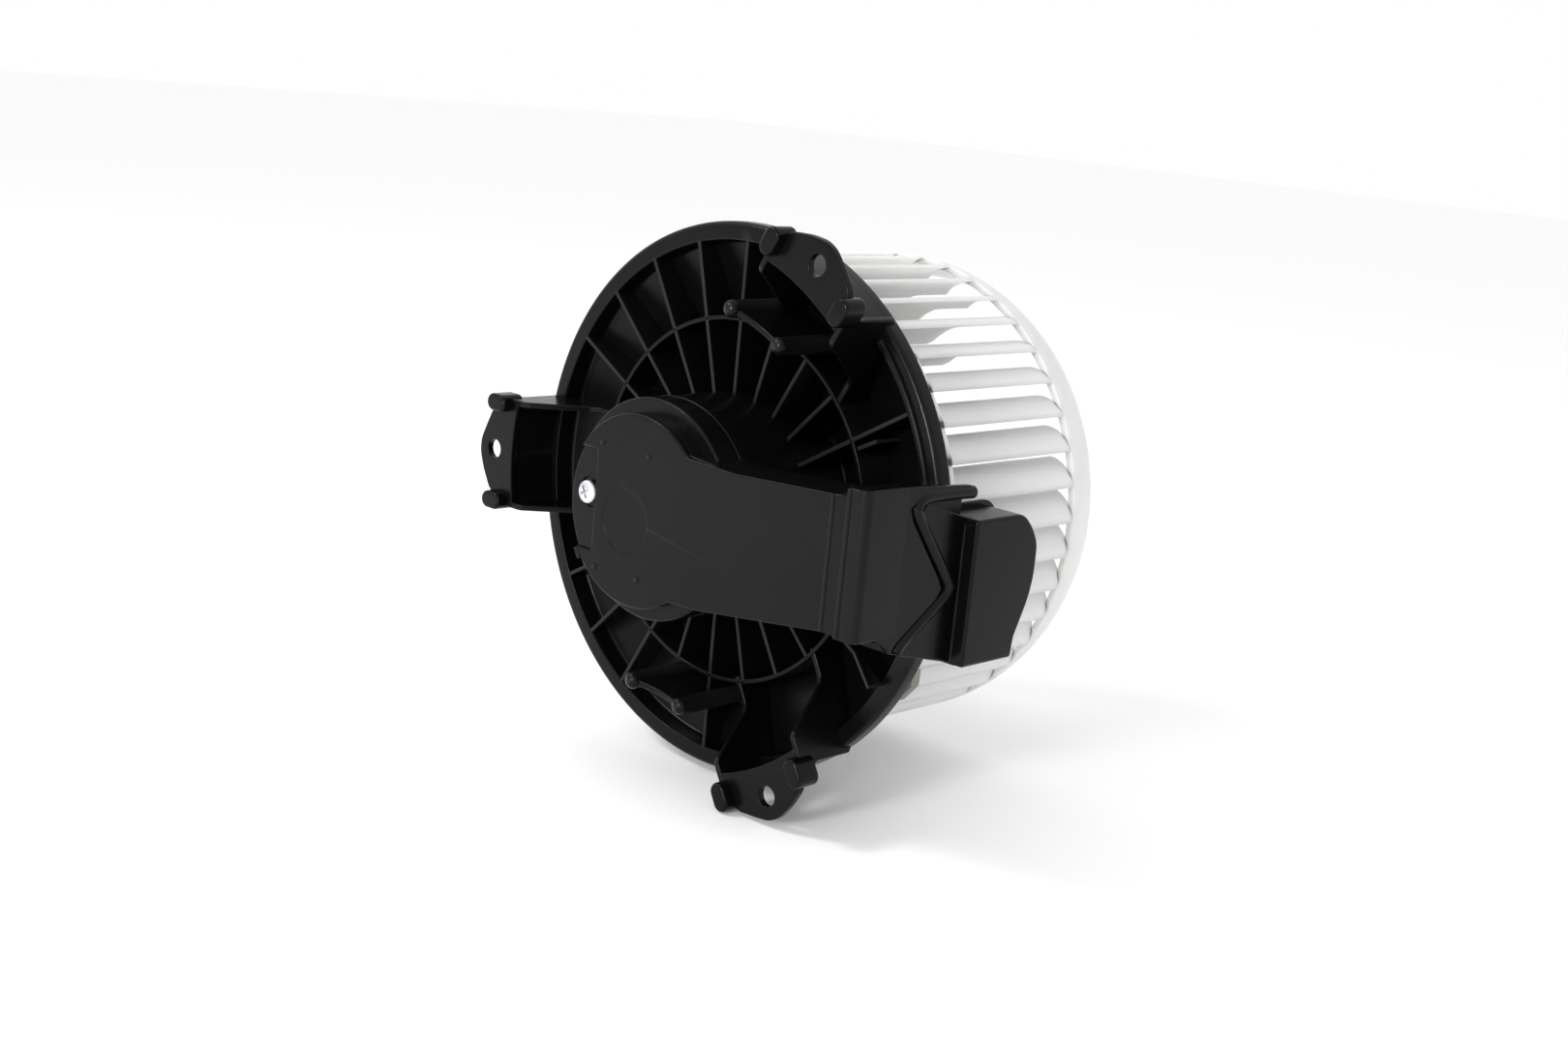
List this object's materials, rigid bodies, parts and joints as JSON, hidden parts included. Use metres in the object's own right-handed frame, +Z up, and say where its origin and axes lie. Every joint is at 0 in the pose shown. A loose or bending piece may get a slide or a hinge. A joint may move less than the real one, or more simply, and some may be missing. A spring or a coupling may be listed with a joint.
{
  "type": "blower motor assembly",
  "caption": "Heater blower: squirrel-cage fan wheel on a brushed motor, in a round ribbed flange with mounting ears, a motor cover and a side cooling duct.",
  "frame": {"origin": "on the motor's axis, in the plane of the flange rim's front face", "axes": "+Y along the motor's axis towards the fan wheel, +X along the cooling duct's arm, +Z up"},
  "size_m": [0.2028, 0.141, 0.1848],
  "materials": {
    "black_plastic": "satin",
    "white_plastic": "satin, slightly milky",
    "zinc_steel": "bright zinc plated",
    "steel": "ground",
    "dark_steel": "laminated, lacquered",
    "ferrite": "sintered",
    "copper": "enamelled wire",
    "bronze": "sintered, oiled",
    "brass": "pressed",
    "carbon": "pressed carbon",
    "black_rubber": "matt",
    "phenolic": "pressed laminate"
  },
  "bodies": {
    "motor_body": {"motor_flange": "black_plastic", "motor_cover": "black_plastic", "cooling_duct": "black_plastic", "cover_screw": "zinc_steel", "connector_housing": "black_plastic", "terminal_1": "brass", "terminal_2": "brass", "lead_1": "black_rubber", "lead_2": "black_rubber", "motor_yoke": "zinc_steel", "motor_end_plate": "zinc_steel", "motor_screw_1": "zinc_steel", "motor_screw_2": "zinc_steel", "magnet_1": "ferrite", "magnet_2": "ferrite", "magnet_spring_1": "steel", "magnet_spring_2": "steel", "bush_front": "bronze", "bush_rear": "bronze", "brush_plate": "phenolic", "brush_holder_1": "brass", "brush_holder_2": "brass", "brush_spring_1": "steel", "brush_spring_2": "steel", "cushion_ring_front": "black_rubber", "cushion_ring_rear": "black_rubber"},
    "rotor": {"fan_wheel": "white_plastic", "wheel_hub": "white_plastic", "balance_clip": "zinc_steel", "wheel_nut": "zinc_steel", "motor_shaft": "steel", "armature_core": "dark_steel", "armature_winding": "copper", "commutator": "copper", "thrust_washer": "steel"},
    "upper_brush": {"brush_1": "carbon"},
    "lower_brush": {"brush_2": "carbon"}
  },
  "joints": [
    {"name": "rotor_spin", "type": "hinge", "parent": "motor_body", "child": "rotor", "pos_m": [0, 0, 0], "axis": [0, 1, 0], "continuous": true},
    {"name": "upper_brush_slide", "type": "slide", "parent": "motor_body", "child": "upper_brush", "axis": [0, 0, 1], "range_m": [0, 0.0015], "stiffness_N_per_m": 60, "springref_m": -0.008, "deforming": ["brush_spring_1"]},
    {"name": "lower_brush_slide", "type": "slide", "parent": "motor_body", "child": "lower_brush", "axis": [0, 0, -1], "range_m": [0, 0.0015], "stiffness_N_per_m": 60, "springref_m": -0.008, "deforming": ["brush_spring_2"]}
  ]
}
